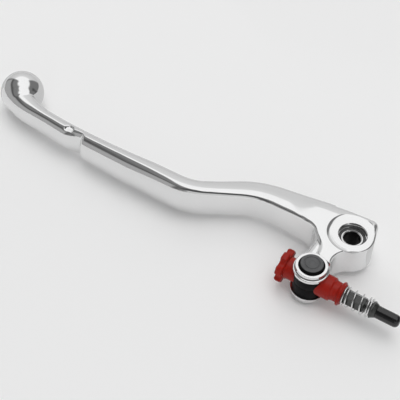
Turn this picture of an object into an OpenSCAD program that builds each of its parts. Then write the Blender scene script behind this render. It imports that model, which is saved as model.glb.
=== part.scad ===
// Motorcycle clutch lever with its barrel, reach adjuster and push rod.
// Frame: origin on the pivot axis at mid height, +Z up along the pivot axis,
// +X inboard along the push rod towards its nose, +Y forward, away from the grip.

/* [Lever blade] */
// X where the blade's centre line leaves the root
blade_x = -20; // [-24:0.5:-16]
// Y where the blade's centre line leaves the root
blade_y = 2.4; // [1:0.1:4]
// Direction of the centre line at the root, degrees from +X
blade_heading = 184.5; // [182:0.5:188]
// Height of the blade in its straight finger section
finger_h = 16.6; // [15:0.2:17]
// Width of the blade in its straight finger section
finger_w = 9.6; // [8:0.2:11]
// Diameter of the ball end
ball_d = 19.4; // [16:0.1:20]

/* [Break notch] */
// X of the middle of the break notch
notch_x = -123.8; // [-130:0.1:-110]
// Radius of the scoop that cuts the notch
notch_r = 8; // [5:0.5:10]
// Y of the scoop's centre, outside the rider side of the blade
notch_y = -25.4; // [-27:0.1:-25]

/* [Boss] */
// Radius of the boss round the pivot
boss_r = 9; // [8.5:0.1:10]
// Height of the boss and the blade's root
boss_h = 14.4; // [14:0.1:15.5]
// Radius of the spot face milled round the pivot
spot_r = 10.5; // [9.5:0.1:11]
// Depth of the spot face
spot_depth = 0.7; // [0.3:0.1:1]
// Diameter of the counterbores
counterbore_d = 11.2; // [11.1:0.1:12]
// Distance of the bushes' outer faces from mid height
bush_z = 4.3; // [3.5:0.1:5]

/* [Pivot fit] */
// Outer diameter of the pressed bushes
bush_d = 11; // [10.5:0.1:11]
// Outer diameter of the inner sleeve
sleeve_d = 9; // [8.4:0.1:9.4]
// Hole of the inner sleeve, for the pivot screw
pivot_d = 7; // [6:0.5:7.5]
// Gap left between the two bushes for grease
grease_gap = 0.8; // [0.4:0.1:1.5]

/* [Clevis] */
// Barrel axis, X from the pivot
barrel_x = -5.8; // [-8:0.1:-4]
// Barrel axis, Y from the pivot
barrel_y = -23.9; // [-26:0.1:-22]
// Radius of an ear
ear_r = 6.66; // [6.5:0.01:7]
// Height of the ears' rounded flanks
ear_h = 15; // [13:0.1:15.4]
// Height over the raised rings of the two ears
ring_h = 15.8; // [15.5:0.1:16.2]
// Radius of a raised ring
ring_r = 6.3; // [6:0.1:6.5]
// Gap between the ears
gap_h = 10.1; // [9.7:0.1:10.4]
// Height of the arms between boss and ears
arm_h = 12.4; // [12:0.1:13]
// Reach of the slot behind the barrel axis
slot_r = 7.6; // [7.2:0.1:8.2]
// Swing of the barrel to either side, in degrees
barrel_swing = 15; // [5:1:15]

/* [Barrel] */
// Diameter of the drum between the ears
drum_d = 12.8; // [12.4:0.1:13]
// Diameter of the trunnions in the ear bores
trunnion_d = 10; // [9:0.1:10.4]
// Height over both trunnion heads
head_h = 17.8; // [16.6:0.1:18.4]
// Diameter of the flat on a trunnion head
head_d = 9.7; // [8.6:0.1:9.8]

/* [Adjuster] */
// Radius over the lobes of the star wheel
star_r = 6.8; // [6.4:0.1:7.2]
// Number of lobes
lobe_count = 6; // [5:1:7]
// Thickness of the star wheel
star_t = 2.9; // [2.4:0.1:3.2]
// Distance from the barrel axis to the wheel's outer face
star_reach = 12.4; // [12:0.1:13]
// Diameter of the knob's sleeve between wheel and drum
sleeve_neck_d = 8.8; // [8.4:0.1:9]
// Outer diameter of the guide collar beside the drum
collar_d = 9.6; // [9.2:0.1:9.7]
// Diameter of the guide collar's waist
waist_d = 8; // [7.8:0.1:8.6]
// Diameter of the guide collar's flange
flange_d = 9.8; // [9:0.1:10.2]

/* [Push rod] */
// Width across flats of the hexagonal rod
rod_af = 5.5; // [5.2:0.1:5.6]
// Width across flats of the rod's hexagonal shoulder
shoulder_af = 6.5; // [6:0.1:7]
// Diameter of the nose
nose_d = 5; // [4:0.1:5.2]
// X of the end of the nose
nose_x = 32.6; // [30:0.1:34]
// Nominal diameter of the adjusting thread
thread_d = 5; // [4.5:0.1:5]

/* [Spring] */
// Outer diameter of the return spring
spring_d = 8.2; // [7.8:0.1:8.4]
// Wire diameter
wire_d = 0.6; // [0.4:0.05:0.7]
// Pitch of the open coils
open_pitch = 3.05; // [2.6:0.05:3.2]

/* [Hidden] */
$fn = 64;

eps = 0.1;
run_clear = 0.05;             // radial clearance of a running fit
side_clear = 0.05;            // end clearance between drum and ear
swing_clear = 0.2;            // room round the collar where the barrel swings
swing_d = collar_d + 2 * swing_clear;

// Blade route: [length, turn in degrees] of each straight or arc, root to ball.
route = [[15, 0], [15.5, 28], [14, 0], [14.5, -30.5], [68, -8], [25, -37]];
step_len = 3.4;               // greatest length of one step along the route
// Blade section: [distance along the route, width, height], root to ball.
sections = [
    [0, 14, 14], [20, 11.4, 13.6], [30, 10.2, 13.8], [40, 9.3, 14.4], [50, 9.4, 15.6],
    [62, finger_w + 0.3, finger_h], [75, finger_w - 0.3, finger_h], [90, 8.4, 15.8],
    [104, 7.9, 14.4], [118, 7.5, 13], [130, 7.4, 12.6], [138, 9, 12.8], [152, 17, 17]
];
section_sides = 20;
squareness = 3.2;             // exponent of the section's rounded rectangle

// ---------- route and sections ----------
function arc(c, r, a0, a1, n) =
    [for (i = [0:n]) c + r * [cos(a0 + (a1 - a0) * i / n), sin(a0 + (a1 - a0) * i / n)]];

// One step along a segment: position, heading and distance after it.
function stride(s, len, turn) =
    [s[0] + len * [cos(s[1] + turn / 2), sin(s[1] + turn / 2)], s[1] + turn, s[2] + len];

// All stations of the segments from index i on, starting at state s.
function stations(s, i = 0) =
    i == len(route) ? [s] :
    let (n = ceil(route[i][0] / step_len),
         part = strides(s, route[i][0] / n, route[i][1] / n, n))
    concat([for (k = [0:n - 1]) part[k]], stations(part[n], i + 1));

function strides(s, step, turn, n) =
    n == 0 ? [s] : concat([s], strides(stride(s, step, turn), step, turn, n - 1));

// Width or height (column c) of the blade at a distance d along the route.
function size_at(d, c) = lookup(d, [for (s = sections) [s[0], s[c]]]);

function sgn_pow(v, p) = sign(v) * pow(abs(v), p);

// Ring of points of the blade section at one station.
function ring(s) =
    let (w = size_at(s[2], 1) / 2, h = size_at(s[2], 2) / 2,
         across = [sin(s[1]), -cos(s[1])])
    [for (k = [0:section_sides - 1])
        let (a = 360 * (k + 0.5) / section_sides,
             u = w * sgn_pow(cos(a), 2 / squareness),
             v = h * sgn_pow(sin(a), 2 / squareness))
        [s[0][0] + u * across[0], s[0][1] + u * across[1], v]];

blade_stations = stations([[blade_x, blade_y], blade_heading, 0]);
ball_at = blade_stations[len(blade_stations) - 1][0];

// Closed tube through rings that all have the same number of points.
module skin(rings) {
    m = len(rings[0]);
    n = len(rings);
    sides = [for (i = [0:n - 2], k = [0:m - 1])
        let (a = i * m + k, b = i * m + (k + 1) % m)
        each [[a, b, a + m], [b, b + m, a + m]]];
    first = [[for (k = [0:m - 1]) m - 1 - k]];
    last = [[for (k = [0:m - 1]) (n - 1) * m + k]];
    polyhedron([for (r = rings) each r], concat(sides, first, last), convexity = 6);
}

// ---------- lever ----------
web_x = -1;                   // X of the web's inboard edge at the ear
web_y = -17.7;                // Y where the web meets the ear
boss_outline = concat(
    arc([0, 0], boss_r, -66, 12, 14),
    arc([3.6, 8.6], 3.2, 5, 94, 7),
    [[-8, 11.3], [-20, 9.7], [-33, 7.6]],
    [[-33, -3.9], [-19.7, -4.4]],
    arc([-18.6, -11.4], 7, 80, 32, 5),
    [[-9.7, -10.2], [-8.4, -11.6], [-7.3, -14.3], [-6.6, -16.2], [-4, -16.3]],
    [[web_x, web_y]],
    arc([7, -15.5], 8, 176, 130, 5));
arm_r = ear_r - 0.1;          // the arms end just inside the ears' flanks
arm_outline = concat(
    arc([-18.6, -11.4], 7, 50, -14, 6),
    [[-12, -18.5]],
    arc([barrel_x, barrel_y], arm_r, 180, 390, 20),
    [[web_x, web_y], [-0.7, -15], [2, -9]]);

module slab(outline, h) {
    translate([0, 0, -h / 2]) linear_extrude(h) polygon(outline);
}

module disc(r, h) {
    cylinder(r = r, h = h, center = true);
}

module at_barrel() {
    translate([barrel_x, barrel_y, 0]) children();
}

module lever_forging() {
    pocket_z = boss_h / 2 - spot_depth;
    color("silver")
    difference() {
        union() {
            skin([for (s = blade_stations) ring(s)]);
            // half a turn puts the ball's seam on its free side
            translate(ball_at) rotate(180) sphere(d = ball_d);
            slab(boss_outline, boss_h);
            slab(arm_outline, arm_h);
            at_barrel() disc(ear_r, ear_h);
            at_barrel() disc(ring_r, ring_h);
        }
        // pivot bore, counterbores and spot faces
        cylinder(d = bush_d, h = boss_h + 1, center = true);
        for (side = [-1, 1]) scale([1, 1, side]) {
            translate([0, 0, bush_z]) cylinder(d = counterbore_d, h = boss_h);
            translate([0, 0, pocket_z]) cylinder(r = spot_r, h = boss_h);
        }
        // slot between the ears and their bores
        at_barrel() disc(slot_r, gap_h);
        at_barrel() translate([-2 * slot_r, -2 * slot_r, -gap_h / 2])
            cube([4 * slot_r, 2 * slot_r, gap_h]);
        // room for the knob's neck and the collar at the ends of the barrel's swing
        for (side = [-1, 1]) at_barrel() rotate([0, side * 90, side * barrel_swing])
            cylinder(d = swing_d, h = 2 * slot_r);
        at_barrel() cylinder(d = trunnion_d, h = ring_h + 1, center = true);
        translate([notch_x, notch_y, 0]) cylinder(r = notch_r, h = boss_h, center = true);
    }
}

// ---------- pivot ----------
module tube(d_out, d_in, h) {
    difference() {
        cylinder(d = d_out, h = h);
        translate([0, 0, -eps]) cylinder(d = d_in, h = h + 2 * eps);
    }
}

module pivot_bush() {
    translate([0, 0, grease_gap / 2])
        tube(bush_d, sleeve_d + 2 * run_clear, bush_z - grease_gap / 2);
}

module pivot_bush_upper() {
    color("gainsboro") pivot_bush();
}

module pivot_bush_lower() {
    color("gainsboro") mirror([0, 0, 1]) pivot_bush();
}

module pivot_sleeve() {
    color("lightgray") translate([0, 0, -bush_z]) tube(sleeve_d, pivot_d, 2 * bush_z);
}

// ---------- barrel ----------
bore_r = 3.65;                // drum bore round the knob's tube
seat_end = 4.6;               // distance of the knob's shoulder from the barrel axis
split_gap = 0.04;             // joint between the two halves
head_proud = 0.2;             // the trunnion narrows to its head this far inside the ring
head_edge = 0.2;              // chamfers of the trunnion head
groove_r = 2.6;               // inner radius of the ring groove moulded in the head
groove_w = 0.6;
groove_depth = 0.25;

// Puts a piece modelled along +Z on the push rod axis, measured from the barrel axis.
module on_rod_axis() {
    at_barrel() rotate([0, 90, 0]) children();
}

module barrel_half() {
    head_r = head_d / 2;
    trunnion_r = trunnion_d / 2 - run_clear;
    drum_z = gap_h / 2 - side_clear;
    neck_z = ring_h / 2 - head_proud;
    top_z = head_h / 2;
    at_barrel() difference() {
        rotate_extrude() difference() {
            polygon([
                [0, split_gap / 2], [drum_d / 2, split_gap / 2], [drum_d / 2, drum_z],
                [trunnion_r, drum_z], [trunnion_r, neck_z],
                [head_r, neck_z + 2 * head_proud], [head_r, top_z - head_edge],
                [head_r - head_edge, top_z], [0, top_z]
            ]);
            translate([groove_r, top_z - groove_depth]) square([groove_w, 1]);
        }
        rotate([0, 90, 0]) cylinder(r = bore_r, h = 2 * drum_d, center = true);
        rotate([0, 90, 0]) translate([0, 0, -drum_d])
            cylinder(d = sleeve_neck_d + 2 * run_clear, h = drum_d - seat_end);
    }
}

module barrel_upper() {
    color("#1a1b1d") barrel_half();
}

module barrel_lower() {
    color("#1a1b1d") mirror([0, 0, 1]) barrel_half();
}

// ---------- adjuster ----------
tube_r = bore_r - run_clear;  // outside of the knob's tube
tube_end = 8.5;
tail_bore_r = 2.6;            // clearance bore round the threaded tail
nut_r = 3.2;
nut_end = 5.6;                // the nut ends this far before the barrel axis
nut_recess = 0.2;             // the nut's end below the wheel's outer face
ring_at = 7;                  // retaining ring's groove on the tube
ring_groove_w = 0.6;
ring_groove_d = 6.4;
clip_d = 8.1;                 // outer diameter of the retaining ring
oring_at = -2;                // o-ring's place on the tube
oring_groove_w = 0.7;
oring_groove_d = 6.1;
oring_wire_r = 0.28;
star_turn = 36;               // direction of the first lobe, from +Y towards +Z
valley_r = 2.1;               // radius of the round valleys between the lobes
valley_at = star_r + 0.65;    // distance of a valley's centre from the axis

module star(h) {
    difference() {
        cylinder(r = star_r, h = h);
        for (k = [0:lobe_count - 1])
            rotate(star_turn + 90 + (k + 0.5) * 360 / lobe_count)
                translate([valley_at, 0, -eps]) cylinder(r = valley_r, h = h + 2 * eps);
    }
}

module adjuster_knob() {
    color("firebrick") on_rod_axis() difference() {
        union() {
            translate([0, 0, -star_reach]) star(star_t);
            translate([0, 0, -star_reach + star_t - eps])
                cylinder(d = sleeve_neck_d, h = star_reach - star_t - seat_end + eps);
            translate([0, 0, -seat_end - eps]) cylinder(r = tube_r, h = seat_end + tube_end + eps);
        }
        translate([0, 0, -star_reach - eps])
            cylinder(r = nut_r, h = star_reach - nut_end + eps);
        translate([0, 0, -star_reach]) cylinder(r = tail_bore_r, h = star_reach + tube_end + eps);
        translate([0, 0, oring_at - oring_groove_w / 2])
            tube(2 * tube_r + 1, oring_groove_d, oring_groove_w);
        translate([0, 0, ring_at]) tube(2 * tube_r + 1, ring_groove_d, ring_groove_w);
    }
}

module adjuster_nut() {
    color("goldenrod") on_rod_axis() translate([0, 0, nut_recess - star_reach])
        tube(2 * nut_r, thread_d, star_reach - nut_recess - nut_end);
}

module knob_oring() {
    color("#202020") on_rod_axis() translate([0, 0, oring_at])
        rotate_extrude() translate([oring_groove_d / 2 + oring_wire_r, 0])
            circle(r = oring_wire_r, $fn = 24);
}

module retaining_ring() {
    play = 0.05;
    mouth = 1.2;              // opening of the ring
    color("slategray") on_rod_axis() difference() {
        translate([0, 0, ring_at + play])
            tube(clip_d, ring_groove_d + 2 * play, ring_groove_w - 2 * play);
        translate([ring_groove_d / 2 - eps, -mouth / 2, ring_at - eps])
            cube([clip_d / 2, mouth, ring_groove_w + 2 * eps]);
    }
}

// ---------- guide collar ----------
collar_end = 14.8;            // spring seat, measured from the barrel axis
step_r = 4.2;                 // radius of the step that centres the spring
hex_from = 9.6;               // start of the hexagonal hole
hex_turn = 15.9;              // direction of one corner, from +Y towards +Z

module hexagon(af, h) {
    rotate(hex_turn + 90) cylinder(d = af / cos(30), h = h, $fn = 6);
}

module guide_collar() {
    body_r = collar_d / 2;
    waist_r = waist_d / 2;
    flange_r = flange_d / 2;
    color("firebrick") at_barrel() difference() {
        rotate([0, 90, 0]) difference() {
            rotate_extrude() polygon([
                [0, 2], [body_r, 2], [body_r, 10], [waist_r, 10.9], [waist_r, 13],
                [flange_r, 13.6], [flange_r, 14.1], [step_r, 14.3],
                [step_r, collar_end], [0, collar_end]
            ]);
            cylinder(r = bore_r, h = hex_from);
            translate([0, 0, ring_at - eps])
                cylinder(d = clip_d + eps, h = hex_from - ring_at + eps);
            translate([0, 0, hex_from - eps])
                hexagon(rod_af + 2 * run_clear, collar_end - hex_from + 2 * eps);
        }
        cylinder(d = drum_d + 2 * run_clear, h = 20, center = true);
    }
}

// ---------- spring ----------
spring_turns = 5.6;
closed_turns = 0.7;           // low-pitch turns at each end
closed_pitch = 0.65;
spring_from = collar_end + wire_d / 2;
spring_start = -34;           // direction of the wire's end, from +Y towards +Z
coil_segments = 20;
wire_sides = 8;

// Area under a step that rises from 0 to 1 over one turn.
function risen(t) = t < 0 ? 0 : t < 1 ? t * t / 2 : t - 0.5;

// Advance of the helix after t turns: closed end, open coils, closed end.
function advance(t) =
    let (opened = risen(t - closed_turns),
         closed_again = risen(t - spring_turns + closed_turns + 1))
    closed_pitch * t + (open_pitch - closed_pitch) * (opened - closed_again);

function wire_ring(t) =
    let (r = (spring_d - wire_d) / 2, a = spring_start + 90 + 360 * t)
    [for (k = [0:wire_sides - 1])
        let (b = 360 * k / wire_sides, q = r + wire_d / 2 * cos(b))
        [q * cos(a), q * sin(a), spring_from + advance(t) + wire_d / 2 * sin(b)]];

module return_spring() {
    n = coil_segments * spring_turns;
    color("lightgray") on_rod_axis()
        skin([for (i = [0:n]) wire_ring(spring_turns * (1 - i / n))]);
}

// ---------- push rod ----------
tail_from = -9.7;             // end of the threaded tail
hex_start = 11.2;
hex_stop = 24;
shoulder_from = spring_from + advance(spring_turns) + wire_d / 2;
shoulder_to = 27.6;
neck_r = 2.4;                 // round neck between the hexagon and its shoulder
cone_r = 3.2;                 // cone that leads from the shoulder to the nose
cone_end_r = 2.6;
nose_from = 28.9;             // where the nose leaves the shoulder's cone
nose_len = nose_x - barrel_x;
pin_r = 1.4;                  // shank of the nose inside the rod
pin_len = 6;

module push_rod() {
    color("dimgray") on_rod_axis() difference() {
        union() {
            translate([0, 0, tail_from])
                cylinder(d = thread_d - 2 * run_clear, h = hex_start - tail_from + eps);
            translate([0, 0, hex_start]) hexagon(rod_af, hex_stop - hex_start);
            translate([0, 0, hex_stop - eps])
                cylinder(r = neck_r, h = shoulder_from - hex_stop + 2 * eps);
            translate([0, 0, shoulder_from]) hexagon(shoulder_af, shoulder_to - shoulder_from);
            translate([0, 0, shoulder_to])
                cylinder(r1 = cone_r, r2 = cone_end_r, h = nose_from - shoulder_to);
        }
        translate([0, 0, nose_from - pin_len]) cylinder(r = pin_r, h = pin_len + eps);
    }
}

module push_rod_nose() {
    corner = 1.8;             // radius that rounds the nose
    r = nose_d / 2;
    color("#141414") on_rod_axis() {
        translate([0, 0, nose_from - pin_len + 0.2]) cylinder(r = pin_r, h = pin_len);
        rotate_extrude() polygon(concat(
            [[0, nose_from], [r, nose_from], [r, nose_len - corner]],
            arc([r - corner, nose_len - corner], corner, 10, 90, 8),
            [[0, nose_len]]));
    }
}

lever_forging();
pivot_bush_upper();
pivot_bush_lower();
pivot_sleeve();
barrel_upper();
barrel_lower();
adjuster_knob();
adjuster_nut();
knob_oring();
retaining_ring();
guide_collar();
return_spring();
push_rod();
push_rod_nose();
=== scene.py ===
"""Looks of a motorcycle clutch lever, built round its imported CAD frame.

The frame's origin is on the pivot axis at mid height, +Z is up along the pivot
axis, +X runs along the push rod towards its nose, and +Y points forward, away from
the grip. Shapes are worked out in millimetres and made in metres.
"""

import math

import bmesh
import bpy
import numpy as np
from mathutils import Matrix, Vector


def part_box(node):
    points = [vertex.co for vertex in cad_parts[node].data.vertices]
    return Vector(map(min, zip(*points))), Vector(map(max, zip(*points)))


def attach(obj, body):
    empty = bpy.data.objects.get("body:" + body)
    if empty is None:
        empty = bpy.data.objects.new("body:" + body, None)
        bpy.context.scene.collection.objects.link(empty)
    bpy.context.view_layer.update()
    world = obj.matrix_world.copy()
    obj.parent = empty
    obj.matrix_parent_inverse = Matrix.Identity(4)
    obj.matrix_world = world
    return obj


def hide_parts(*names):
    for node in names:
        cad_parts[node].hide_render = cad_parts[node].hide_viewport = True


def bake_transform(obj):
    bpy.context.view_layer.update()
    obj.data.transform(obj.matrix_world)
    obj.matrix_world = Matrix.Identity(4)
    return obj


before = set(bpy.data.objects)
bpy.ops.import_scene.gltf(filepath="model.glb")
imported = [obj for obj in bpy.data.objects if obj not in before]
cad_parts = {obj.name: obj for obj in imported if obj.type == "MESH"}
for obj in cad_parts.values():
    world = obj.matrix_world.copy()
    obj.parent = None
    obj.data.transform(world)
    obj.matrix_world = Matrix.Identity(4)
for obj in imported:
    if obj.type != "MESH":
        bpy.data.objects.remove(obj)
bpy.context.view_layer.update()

MM = 0.001
TAU = 2 * math.pi


def node_box(node):
    """Lowest and highest corner of a CAD node, in millimetres."""
    return [np.array(corner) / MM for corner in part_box(node)]


# ---------- sizes taken from the frame ----------
drum_low, drum_high = node_box("barrel_upper")
BARREL = (drum_low[:2] + drum_high[:2]) / 2
DRUM_R = (drum_high[0] - drum_low[0]) / 2
HEAD_Z = drum_high[2]
LEVER_LOW, LEVER_HIGH = node_box("lever_forging")
NOSE_X = node_box("push_rod_nose")[1][0]
KNOB_X = node_box("adjuster_knob")[0][0]
KNOB_END_X = node_box("adjuster_knob")[1][0]
COLLAR_END_X = node_box("guide_collar")[1][0]
SPRING_END_X = node_box("return_spring")[1][0]
SLEEVE_R = node_box("pivot_sleeve")[1][0]
SLEEVE_Z = node_box("pivot_sleeve")[1][2]
BUSH_R = node_box("pivot_bush_upper")[1][0]
BUSH_Z = node_box("pivot_bush_upper")[0][2]

# ---------- sizes of the forging ----------
# Ball, boss and arm; the blade's sizes turn into the boss's between two values of X.
BALL_R = 9.7
BOSS_HALF = 7.2
BOSS_FADE = (-30, -16)
ARM_HALF, ARM_EDGE = 6.2, 3.0
ROOT_RISE = 0.95
# Ears: the arm's round end, a flared lip, and a ring that stands on the lip.
EAR_R = 6.66
EAR_INNER_Z = 3.5
LIP_R, LIP_Z, LIP_TOP_Z = 7.1, 6.15, 6.3
RING_R, RING_HALF = 6.3, 7.9
TRUNNION_BORE_R = 5.0
# Clevis slot: its round end, its mouth, and the room for the barrel's swing.
GAP_HALF = 5.05
SLOT_R = 7.6
MOUTH_BEYOND, MOUTH_DEPTH = 9, 16
SWING_R = 5.0
SWING = math.radians(15)
# Spot faces with a rising rim, counterbores and bore of the pivot.
SPOT_R, SPOT_FLAT_R = 10.5, 8.8
SPOT_Z = 6.5
SPOT_GAP = 0.03
RIM_RISE_R, RIM_TURN = 2.4, 48
COUNTERBORE_R, COUNTERBORE_Z = 5.6, 4.3
PIVOT_BORE_R = 5.5
# Widths of the blends between the forging's bodies; an edge's own blend is a little
# wider than its radius.
BOSS_BLEND, BALL_BLEND, ARM_BLEND, POCKET_BLEND = 0.8, 1.4, 1.0, 0.8
EDGE_BLEND = 1.17

# ---------- sizes of the other pieces, with places along the rod from the barrel axis ----------
SLEEVE_BORE_R = 3.5
# Barrel: gap between its halves, drum, trunnions, tapered heads, bore and knob seat.
SPLIT = 0.04
DRUM_Z = 5.0
TRUNNION_R = 4.95
HEAD_R, HEAD_TOP_R, HEAD_RISE = 4.7, 4.4, 0.4
BORE_R = 3.65
SEAT_END = 4.6
# Star wheel with neck and tube, and its brass nut.
NECK_R = 4.4
STAR_R, STAR_T = 6.8, 2.9
LOBES, FIRST_LOBE = 6, 36.0
VALLEY_R, VALLEY_AT = 2.1, 7.45
TUBE_R, TAIL_BORE_R = 3.6, 2.6
NUT_R, NUT_END = 3.2, 5.6
ORING_AT, ORING_R = -2.0, 3.05
CLIP_AT, CLIP_R = 7.0, 3.2
# Return spring: closed turns stand at each end of the open ones.
SPRING_R, WIRE_R = 3.8, 0.3
SPRING_TURNS, CLOSED_TURNS, CLOSED_PITCH = 5.6, 0.7, 0.65
SPRING_START = -34.0
# Rod: thread, hexagon with its turn and the collar's hole, neck, shoulder, cone, nose.
THREAD_R, PITCH = 2.5, 0.8
HEX_TURN = 15.9
HEX_HOLE = 5.6
ROD_AF, SHOULDER_AF = 5.5, 6.5
TAIL_FROM, HEX_FROM, HEX_TO = -9.7, 11.2, 24.0
ROD_NECK_R = 2.4
SHOULDER_FROM, SHOULDER_TO, NOSE_FROM = 26.72, 27.6, 28.9
CONE_R, CONE_END_R = 3.2, 2.6
NOSE_R, NOSE_CORNER = 2.5, 1.8

# Blade route: start, heading and [length, turn in degrees] of each straight or arc.
ROUTE_START = (-20.0, 2.4)
ROUTE_HEADING = 184.5
ROUTE = [[15, 0], [15.5, 28], [14, 0], [14.5, -30.5], [68, -8], [25, -37]]
# Blade section: distance, half width on the rider side and on the forward side, half
# height, bow of the rider side in 1/mm, edge radius on the rider and forward sides.
SECTIONS = [
    [-12, 6.6, 8.4, 7.2, 0.01, 1.5, 2.0], [0, 6.5, 7.6, 7.1, 0.02, 1.5, 2.2],
    [10, 5.9, 6.9, 6.9, 0.03, 1.5, 2.3], [20, 5.05, 6.1, 6.8, 0.03, 1.5, 2.4],
    [30, 4.7, 5.4, 6.9, 0.04, 1.5, 2.5], [40, 4.4, 4.6, 7.2, 0.05, 1.5, 2.6],
    [50, 4.95, 4.3, 7.8, 0.07, 1.1, 2.8], [60, 5.0, 4.75, 8.25, 0.08, 1.5, 3.2],
    [70, 4.7, 4.8, 8.3, 0.08, 2.2, 3.1], [80, 4.7, 4.1, 8.15, 0.08, 2.7, 3.0],
    [90, 4.5, 3.7, 7.9, 0.08, 2.7, 3.0], [104, 4.25, 3.5, 7.2, 0.085, 2.7, 3.0],
    [118, 4.0, 3.4, 6.5, 0.085, 2.4, 3.0], [128, 3.7, 3.4, 6.3, 0.08, 2.4, 3.0],
    [133, 4.2, 3.3, 6.2, 0.08, 2.6, 3.0], [138, 5.6, 3.2, 6.2, 0.06, 3.2, 3.0],
    [144, 7.5, 3.2, 6.3, 0.05, 4.5, 3.0], [150, 9.0, 3.2, 6.4, 0.05, 5.0, 3.0],
]
ROUTE_LENGTH = sum(length for length, turn in ROUTE)
# Break notch: distance to its wall, depth, length of the wall, and span of the ramp.
NOTCH_FROM, NOTCH_DEPTH = 103.8, 2.2
NOTCH_WALL, NOTCH_RAMP = 2.5, (3, 12)
# Flat pocket beside the notch: distance and offset on the route, floor and radius.
POCKET_AT = (112.8, -0.8)
POCKET_Z, POCKET_R = 5.6, 2.2
# Facet along the forward edge of the top: fall per millimetre, width on the boss, and
# how far it carries the blade's foot outwards.
FACET_SLOPE, FACET_WIDTH, FACET_SPREAD = 0.2, 4.5, 0.55


# ---------- mesh tools ----------
TO_BARREL = Matrix.Translation((BARREL[0] * MM, BARREL[1] * MM, 0))


def rod_x(place):
    """X of a place along the rod, which is measured from the barrel axis."""
    return BARREL[0] + place


def arc(centre, radius, start, stop, count):
    """Points on an arc; the angles are in degrees from +X."""
    angles = np.radians(np.linspace(start, stop, count + 1))
    return [
        (centre[0] + radius * math.cos(a), centre[1] + radius * math.sin(a)) for a in angles
    ]


def new_piece(name, points, faces, materials):
    """A mesh object from points in millimetres."""
    mesh = bpy.data.meshes.new(name)
    mesh.from_pydata((np.asarray(points, float) * MM).tolist(), [], faces)
    for material in materials:
        mesh.materials.append(material)
    piece = bpy.data.objects.new(name, mesh)
    bpy.context.scene.collection.objects.link(piece)
    return piece


def shade(piece, sharp_angle=38):
    """Smooth shading with sharp edges where faces turn, or where the material changes."""
    work = bmesh.new()
    work.from_mesh(piece.data)
    limit = math.radians(sharp_angle)
    for face in work.faces:
        face.smooth = True
    for edge in work.edges:
        if len(edge.link_faces) == 2:
            a, b = edge.link_faces
            edge.smooth = (
                edge.calc_face_angle(0.0) < limit and a.material_index == b.material_index
            )
    work.to_mesh(piece.data)
    work.free()


def fillet(corners, segments=4):
    """A profile of [r, t, radius] corners, with each corner rounded to its radius."""
    points = [np.array(c[:2], float) for c in corners]
    radii = [c[2] if len(c) > 2 else 0 for c in corners]
    count = len(points)
    profile = []
    for i, (corner, radius) in enumerate(zip(points, radii)):
        before, after = points[i - 1], points[(i + 1) % count]
        if radius == 0:
            profile.append(tuple(corner))
            continue
        to_before = (before - corner) / np.linalg.norm(before - corner)
        to_after = (after - corner) / np.linalg.norm(after - corner)
        half = math.acos(np.clip(to_before @ to_after, -1, 1)) / 2
        reach = radius / math.tan(half)
        middle = to_before + to_after
        centre = corner + middle / np.linalg.norm(middle) * radius / math.sin(half)
        first, last = corner + to_before * reach - centre, corner + to_after * reach - centre
        turn = math.pi - 2 * half
        side = math.copysign(1, first[0] * last[1] - first[1] * last[0])
        for k in range(segments + 1):
            a = side * turn * k / segments
            x = first[0] * math.cos(a) - first[1] * math.sin(a)
            y = first[0] * math.sin(a) + first[1] * math.cos(a)
            profile.append((centre[0] + x, centre[1] + y))
    return profile


def rings_to_mesh(rings, closed):
    """Points and faces of a tube through rings; open tubes get a cap at each end."""
    count, sides = len(rings), len(rings[0])
    points = np.concatenate(rings)
    faces = []
    for i in range(count if closed else count - 1):
        a, b = i * sides, (i + 1) % count * sides
        for k in range(sides):
            n = (k + 1) % sides
            faces.append((a + k, a + n, b + n, b + k))
    if not closed:
        faces.append(tuple(reversed(range(sides))))
        faces.append(tuple((count - 1) * sides + k for k in range(sides)))
    return points, faces


def along_z(ring):
    """Ring points [a, b, t] stand as they are: t is height."""
    return ring


def along_rod(ring):
    """Puts ring points [a, b, t] on the push rod axis: t is X, a is Y and b is Z."""
    a, b, t = ring.T
    return np.column_stack([t, BARREL[1] + a, b])


def turned(name, profile, materials, place, closed=False, sides=96, shape=None, start=0.0):
    """A turned solid from [r, t] points; shape(r, t, angle) may bend each ring."""
    angles = math.radians(start) + np.arange(sides) * TAU / sides
    rings = []
    for r, t in profile:
        radius, height = np.full(sides, float(r)), np.full(sides, float(t))
        if shape:
            radius, height = shape(radius, height, angles)
        ring = np.column_stack([radius * np.cos(angles), radius * np.sin(angles), height])
        rings.append(place(ring))
    points, faces = rings_to_mesh(rings, closed)
    piece = new_piece(name, points, faces, materials)
    tidy_normals(piece)
    return piece


def tidy_normals(piece):
    """Merges doubled points, drops empty faces and turns every face outwards."""
    work = bmesh.new()
    work.from_mesh(piece.data)
    bmesh.ops.remove_doubles(work, verts=work.verts, dist=1e-7)
    bmesh.ops.dissolve_degenerate(work, edges=work.edges, dist=1e-7)
    bmesh.ops.recalc_face_normals(work, faces=work.faces)
    work.to_mesh(piece.data)
    work.free()


def prism(name, outline, low, high, materials):
    """An upright prism over an outline in the XY plane."""
    rings = [np.array([(x, y, z) for x, y in outline]) for z in (low, high)]
    points, faces = rings_to_mesh(rings, False)
    piece = new_piece(name, points, faces, materials)
    tidy_normals(piece)
    return piece


def combine(piece, cutter, operation):
    """Applies a boolean with the cutter, which is then deleted."""
    modifier = piece.modifiers.new("combine", "BOOLEAN")
    modifier.object = cutter
    modifier.operation = operation
    modifier.solver = "EXACT"
    modifier.material_mode = "TRANSFER"
    bpy.context.view_layer.update()
    graph = bpy.context.evaluated_depsgraph_get()
    result = bpy.data.meshes.new_from_object(piece.evaluated_get(graph), depsgraph=graph)
    piece.modifiers.clear()
    old = piece.data
    piece.data = result
    bpy.data.meshes.remove(old)
    bpy.data.objects.remove(cutter)


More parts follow.
